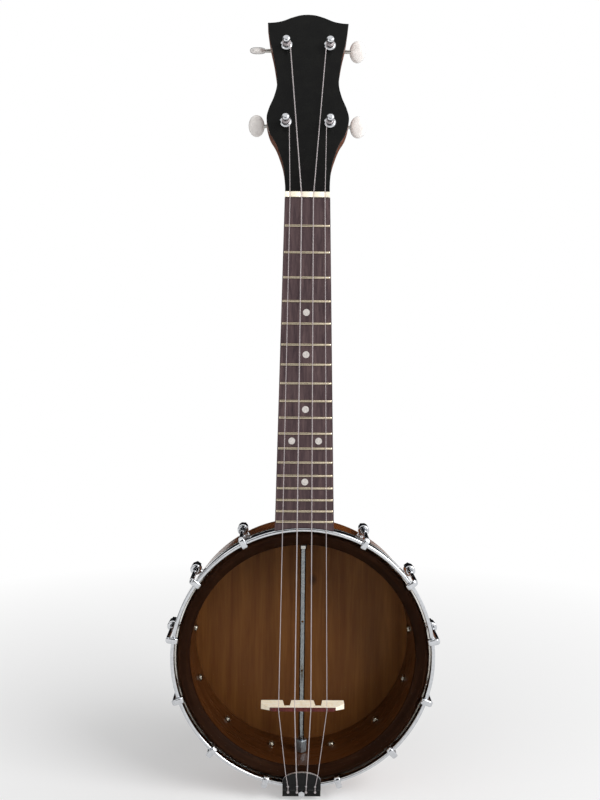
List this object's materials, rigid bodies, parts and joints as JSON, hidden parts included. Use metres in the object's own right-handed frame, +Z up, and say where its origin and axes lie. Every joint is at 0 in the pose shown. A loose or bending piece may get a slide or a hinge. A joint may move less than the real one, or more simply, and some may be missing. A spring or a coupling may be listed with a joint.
{
  "type": "banjo ukulele",
  "caption": "Banjo ukulele with a clear drum head, closed wooden back, hooks and shoes round a chrome hoop, a fretted neck, and open worm tuners with oval buttons.",
  "frame": {"origin": "on the centre plane inside the headstock, midway through its thickness, 38 mm up its face from the nut, where a hanger's yoke holds its narrow part", "axes": "+Z up towards the headstock's tip, +Y out of the flat back, away from a player's view of the face, +X to the right seen from the face"},
  "size_m": [0.2166, 0.0945, 0.6122],
  "materials": {
    "mahogany": "satin clear coat over brown mahogany",
    "black_veneer": "satin black lacquer on the headstock face",
    "rosewood": "oiled dark brown rosewood with metal frets and light dots",
    "bone": "polished cream bone",
    "rim_wood": "glossy orange brown mahogany, near black on the front edge",
    "back_wood": "satin brown wood with small dark knots",
    "clear_film": "clear glossy drum film",
    "chrome": "bright polished chrome",
    "black_metal": "glossy black plated sheet metal",
    "maple": "bare pale maple",
    "redwood": "dark red brown hardwood strip",
    "nylon": "clear to white nylon string",
    "pearl": "white pearloid"
  },
  "bodies": {
    "instrument": {"neck": "mahogany", "headstock_veneer": "black_veneer", "fingerboard": "rosewood", "nut": "bone", "rim": "rim_wood", "back_plate": "back_wood", "drum_head": "clear_film", "flesh_hoop": "chrome", "tension_hoop": "chrome", "coordinator_rod": "chrome", "rod_neck_nut": "chrome", "rod_tail_ferrule": "chrome", "tailpiece": "black_metal", "tailpiece_hanger": "chrome", "bridge": "maple", "bridge_cap": "redwood", "string_1": "nylon", "string_2": "nylon", "string_3": "nylon", "string_4": "nylon", "hook_1": "chrome", "hook_2": "chrome", "hook_3": "chrome", "hook_4": "chrome", "hook_5": "chrome", "hook_6": "chrome", "hook_7": "chrome", "hook_8": "chrome", "hook_9": "chrome", "hook_10": "chrome", "hook_11": "chrome", "hook_12": "chrome", "shoe_1": "chrome", "shoe_2": "chrome", "shoe_3": "chrome", "shoe_4": "chrome", "shoe_5": "chrome", "shoe_6": "chrome", "shoe_7": "chrome", "shoe_8": "chrome", "shoe_9": "chrome", "shoe_10": "chrome", "shoe_11": "chrome", "shoe_12": "chrome", "tuner_frame_upper_left": "chrome", "tuner_frame_upper_right": "chrome", "tuner_frame_lower_left": "chrome", "tuner_frame_lower_right": "chrome"},
    "button_upper_left": {"tuner_worm_upper_left": "chrome", "tuner_button_upper_left": "pearl"},
    "post_upper_left": {"tuner_post_upper_left": "chrome"},
    "button_upper_right": {"tuner_worm_upper_right": "chrome", "tuner_button_upper_right": "pearl"},
    "post_upper_right": {"tuner_post_upper_right": "chrome"},
    "button_lower_left": {"tuner_worm_lower_left": "chrome", "tuner_button_lower_left": "pearl"},
    "post_lower_left": {"tuner_post_lower_left": "chrome"},
    "button_lower_right": {"tuner_worm_lower_right": "chrome", "tuner_button_lower_right": "pearl"},
    "post_lower_right": {"tuner_post_lower_right": "chrome"}
  },
  "joints": [
    {"name": "button_turn_upper_left", "type": "hinge", "parent": "instrument", "child": "button_upper_left", "pos_m": [-0.0171, 0.03554, 0.08471], "axis": [-1, 0, 0], "continuous": true},
    {"name": "post_turn_upper_left", "type": "hinge", "parent": "instrument", "child": "post_upper_left", "pos_m": [-0.0171, 0.01598, 0.08384], "axis": [0, 0.9632, -0.2689], "continuous": true},
    {"name": "button_turn_upper_right", "type": "hinge", "parent": "instrument", "child": "button_upper_right", "pos_m": [0.0171, 0.03554, 0.08471], "axis": [1, 0, 0], "continuous": true},
    {"name": "post_turn_upper_right", "type": "hinge", "parent": "instrument", "child": "post_upper_right", "pos_m": [0.0171, 0.01598, 0.08384], "axis": [0, 0.9632, -0.2689], "continuous": true},
    {"name": "button_turn_lower_left", "type": "hinge", "parent": "instrument", "child": "button_lower_left", "pos_m": [-0.0171, 0.01779, 0.02115], "axis": [-1, 0, 0], "continuous": true},
    {"name": "post_turn_lower_left", "type": "hinge", "parent": "instrument", "child": "post_lower_left", "pos_m": [-0.0171, -0.00176, 0.02027], "axis": [0, 0.9632, -0.2689], "continuous": true},
    {"name": "button_turn_lower_right", "type": "hinge", "parent": "instrument", "child": "button_lower_right", "pos_m": [0.0171, 0.01779, 0.02115], "axis": [1, 0, 0], "continuous": true},
    {"name": "post_turn_lower_right", "type": "hinge", "parent": "instrument", "child": "post_lower_right", "pos_m": [0.0171, -0.00176, 0.02027], "axis": [0, 0.9632, -0.2689], "continuous": true}
  ],
  "couplings": [
    {"joint": "post_turn_upper_left", "follows": "button_turn_upper_left", "ratio": -0.071429},
    {"joint": "post_turn_upper_right", "follows": "button_turn_upper_right", "ratio": -0.071429},
    {"joint": "post_turn_lower_left", "follows": "button_turn_lower_left", "ratio": -0.071429},
    {"joint": "post_turn_lower_right", "follows": "button_turn_lower_right", "ratio": -0.071429}
  ]
}
